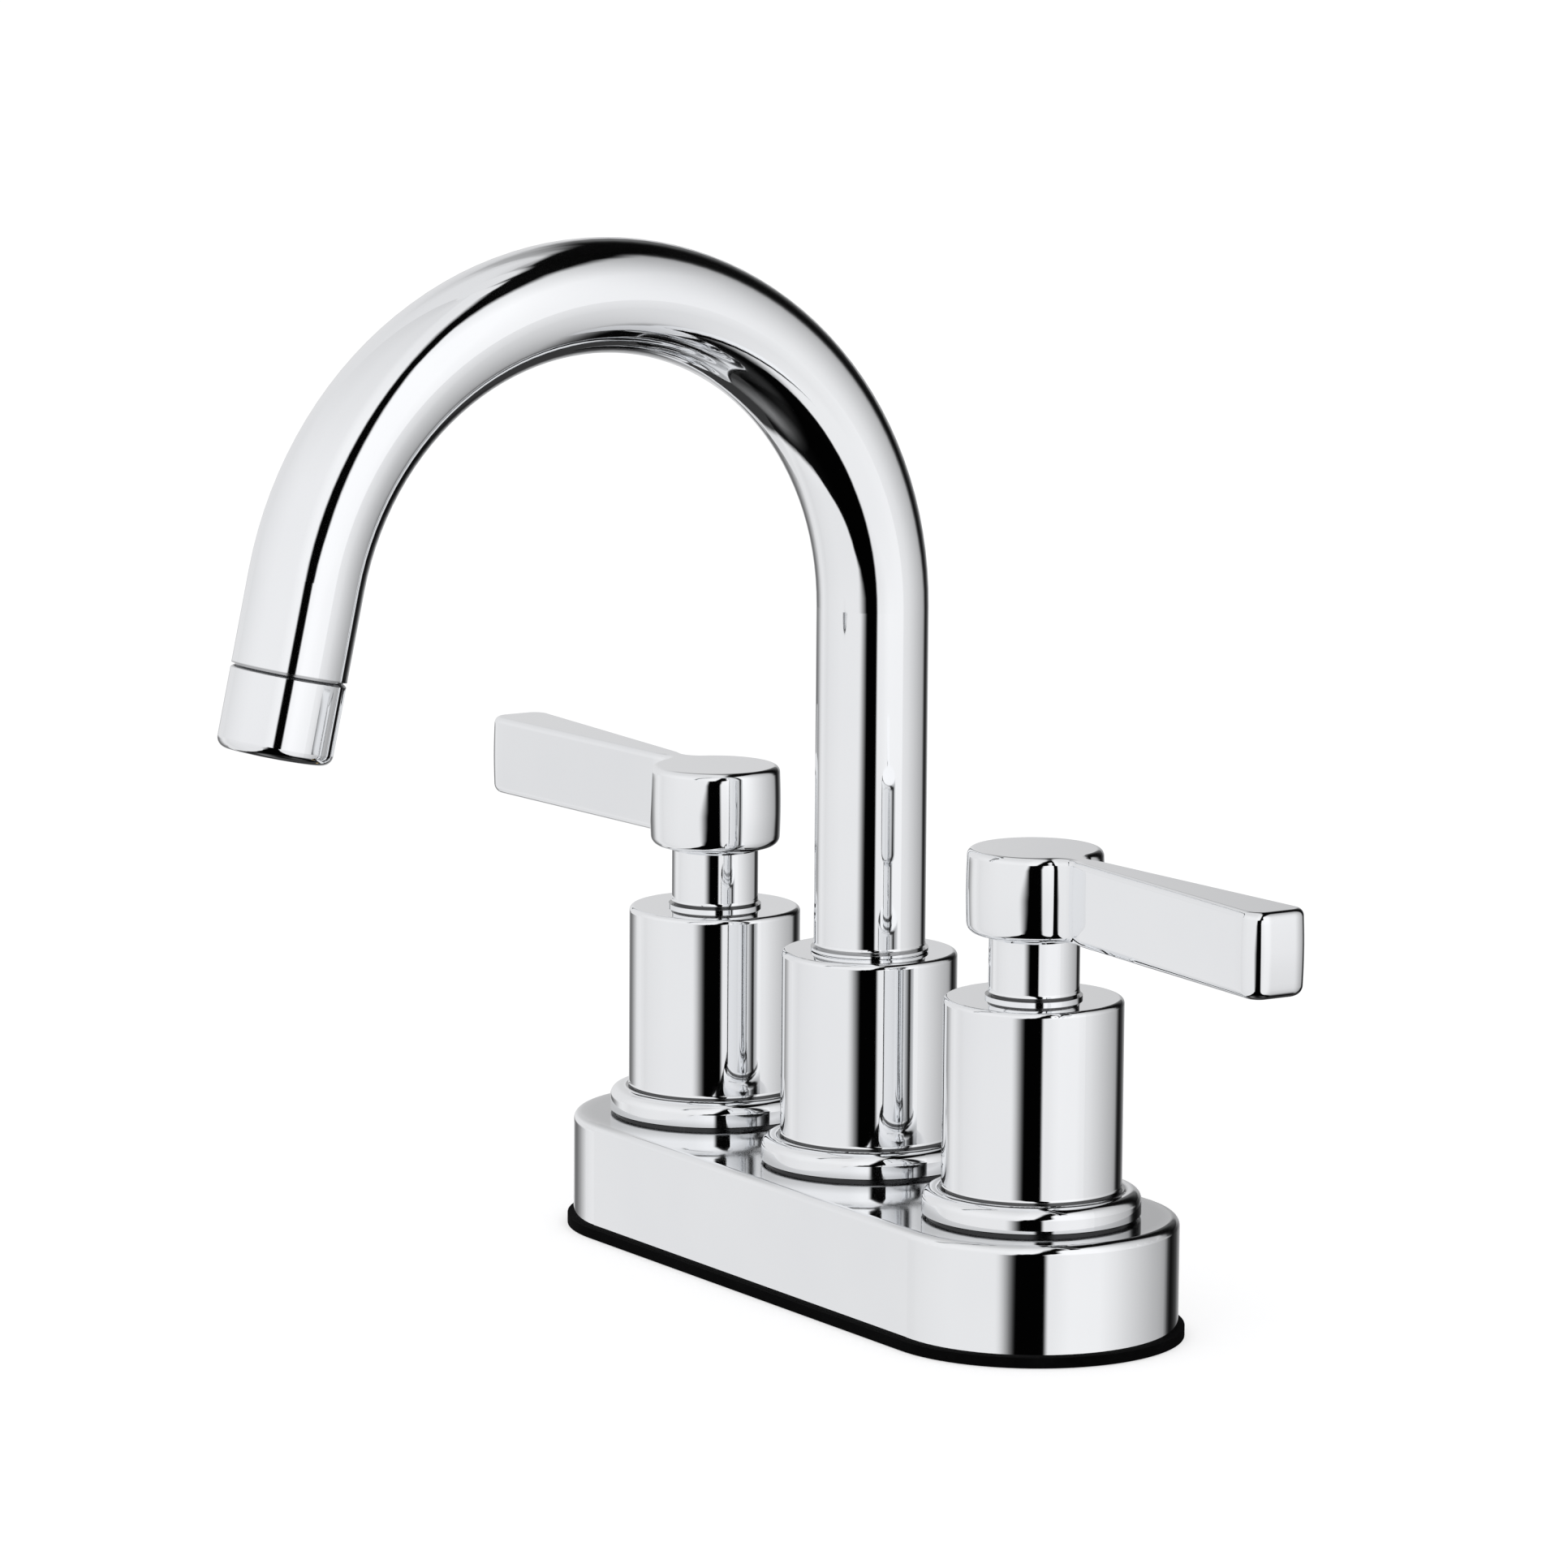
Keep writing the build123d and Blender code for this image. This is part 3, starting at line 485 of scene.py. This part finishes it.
# ------------------------------------------------------------------ handles
def handle_line():
    """Outline of hub and lever (mm, lever towards +X) as points with outward normals, anticlockwise."""
    hub_r, end_x, half_end, corner, blend = 11.8, 70.9, 6.15, 3.5, 3.0
    taper, swell, run = math.radians(3.45), math.radians(14.0), 3.0
    rho = run / (math.sin(swell) - math.sin(taper))
    rise = rho * (math.cos(taper) - math.cos(swell))

    def side_y(x):
        return half_end - (end_x - x) * math.tan(taper)

    xc = hub_r + 1.3
    for _ in range(60):
        x2 = xc + blend * math.sin(swell) + run
        yc = side_y(x2) - rise + blend * math.cos(swell)
        xc = math.sqrt((hub_r + blend) ** 2 - yc ** 2)
    half = []
    cx = end_x - corner
    cy = side_y(cx) - corner / math.cos(taper)
    for i in range(8):
        half.append((end_x, cy * (i + 0.5) / 8, 1.0, 0.0))
    n = 18
    for i in range(n + 1):
        a = (math.pi / 2 + taper) * i / n
        half.append((cx + corner * math.cos(a), cy + corner * math.sin(a), math.cos(a), math.sin(a)))
    x0 = cx - corner * math.sin(taper)
    n = 22
    for i in range(1, n):
        x = x0 + (x2 - x0) * i / n
        half.append((x, side_y(x), -math.sin(taper), math.cos(taper)))
    n = 14
    sx, sy = x2 + rho * math.sin(taper), side_y(x2) - rho * math.cos(taper)
    for i in range(n):
        a = taper + (swell - taper) * i / n
        half.append((sx - rho * math.sin(a), sy + rho * math.cos(a), -math.sin(a), math.cos(a)))
    n = 26
    last = -math.atan2(xc, yc)
    for i in range(n):
        a = swell + (last - swell) * i / n
        half.append((xc + blend * math.sin(a), yc - blend * math.cos(a), -math.sin(a), math.cos(a)))
    n = 84
    first = math.atan2(yc, xc)
    for i in range(n):
        a = first + (math.pi - first) * (i + 0.0) / n
        half.append((hub_r * math.cos(a), hub_r * math.sin(a), math.cos(a), math.sin(a)))
    mirror = [(x, -y, nx, -ny) for x, y, nx, ny in reversed(half)]
    return half + [(-hub_r, 0.0, -1.0, 0.0)] + mirror


def handle_section():
    """(inset, height) from the flat underside up to the flat top: rounded foot, crowned side, rounded top edge."""
    z0, z1, crown, foot, top = 69.70, 84.25, 0.22, 1.8, 1.25
    mid, half = (z0 + z1) / 2, (z1 - z0) / 2

    def bulge(z):
        return crown * ((z - mid) / half) ** 2

    def slope(z):
        return math.atan(2 * crown * (z - mid) / half ** 2)

    low_t, top_t = z0 + foot, z1 - top
    a0, a1 = slope(low_t), slope(top_t)
    zl, zt = z0 + foot, z1 - top
    il = bulge(low_t) + foot * math.cos(a0)
    it = bulge(top_t) + top * math.cos(a1)
    out = [(il + 0.25, z0)]
    for i in range(13):
        a = -math.pi / 2 + (a0 + math.pi / 2) * i / 12
        out.append((il - foot * math.cos(a), zl + foot * math.sin(a)))
    zs = out[-1][1]
    ze = zt + top * math.sin(a1)
    for i in range(1, 14):
        z = zs + (ze - zs) * i / 14
        out.append((bulge(z), z))
    for i in range(13):
        a = a1 + (math.pi / 2 - a1) * i / 12
        out.append((it - top * math.cos(a), zt + top * math.sin(a)))
    out.append((it + 0.06, z1))
    return out


def smooth_handle(side, x, flip):
    """The cast handle with its crowned sides, standing for the CAD node: fine enough for clean reflections."""
    line, section = handle_line(), handle_section()
    bm = bmesh.new()
    rings = []
    for inset, z in section:
        rings.append([bm.verts.new(((x + flip * (px - inset * nx)) / 1000, (py - inset * ny) / 1000, z / 1000))
                      for px, py, nx, ny in line])
    n = len(line)
    for a, b in zip(rings, rings[1:]):
        for i in range(n):
            j = (i + 1) % n
            bm.faces.new((a[i], a[j], b[j], b[i]))
    bm.faces.new(rings[-1])
    # socket for the spindle, open at the underside
    steps = 48
    mouth, throat = [], []
    for i in range(steps):
        a = 2 * math.pi * i / steps
        co = ((x + 4.05 * math.cos(a)) / 1000, 4.05 * math.sin(a) / 1000)
        mouth.append(bm.verts.new((*co, 69.70 / 1000)))
        throat.append(bm.verts.new((*co, 79.3 / 1000)))
    for i in range(steps):
        j = (i + 1) % steps
        bm.faces.new((mouth[i], mouth[j], throat[j], throat[i]))
    bm.faces.new(throat)
    rim = [bm.edges.get((rings[0][i], rings[0][(i + 1) % n])) for i in range(n)]
    hole = [bm.edges.get((mouth[i], mouth[(i + 1) % steps])) for i in range(steps)]
    bmesh.ops.triangle_fill(bm, edges=rim + hole, use_beauty=True)
    bmesh.ops.recalc_face_normals(bm, faces=bm.faces[:])
    mesh = bpy.data.meshes.new(f"{side}_handle_smooth")
    bm.to_mesh(mesh)
    bm.free()
    ob = bpy.data.objects.new(f"{side}_handle_smooth", mesh)
    scene.collection.objects.link(ob)

    # tapped hole for the set screw, at the back
    drill = bmesh.new()
    bmesh.ops.create_cone(drill, cap_ends=True, segments=40, radius1=0.0020, radius2=0.0020, depth=0.010,
                          matrix=Matrix.Translation((x / 1000, 0.0085, 0.0752)) @ Matrix.Rotation(math.pi / 2, 4, "X"))
    drill_mesh = bpy.data.meshes.new("drill")
    drill.to_mesh(drill_mesh)
    drill.free()
    drill_ob = bpy.data.objects.new("drill", drill_mesh)
    scene.collection.objects.link(drill_ob)
    mod = ob.modifiers.new("hole", "BOOLEAN")
    mod.operation = "DIFFERENCE"
    mod.solver = "EXACT"
    mod.object = drill_ob
    bpy.context.view_layer.update()
    cut = bpy.data.meshes.new_from_object(ob.evaluated_get(bpy.context.evaluated_depsgraph_get()))
    ob.modifiers.clear()
    ob.data = cut
    bpy.data.objects.remove(drill_ob)
    bpy.data.meshes.remove(drill_mesh)
    bm = bmesh.new()
    bm.from_mesh(cut)
    for f in bm.faces:
        f.smooth = True
    for e in bm.edges:
        e.smooth = len(e.link_faces) == 2 and e.calc_face_angle(0.0) < math.radians(35)
    bm.to_mesh(cut)
    bm.free()
    cut.materials.clear()
    cut.materials.append(M["chrome_cast"])
    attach(ob, f"{side}_handle")
    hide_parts(f"{side}_handle")


smooth_handle("hot", -50.8, -1)
smooth_handle("cold", 50.8, 1)
threaded_body("hot", -50.8)
threaded_body("cold", 50.8)
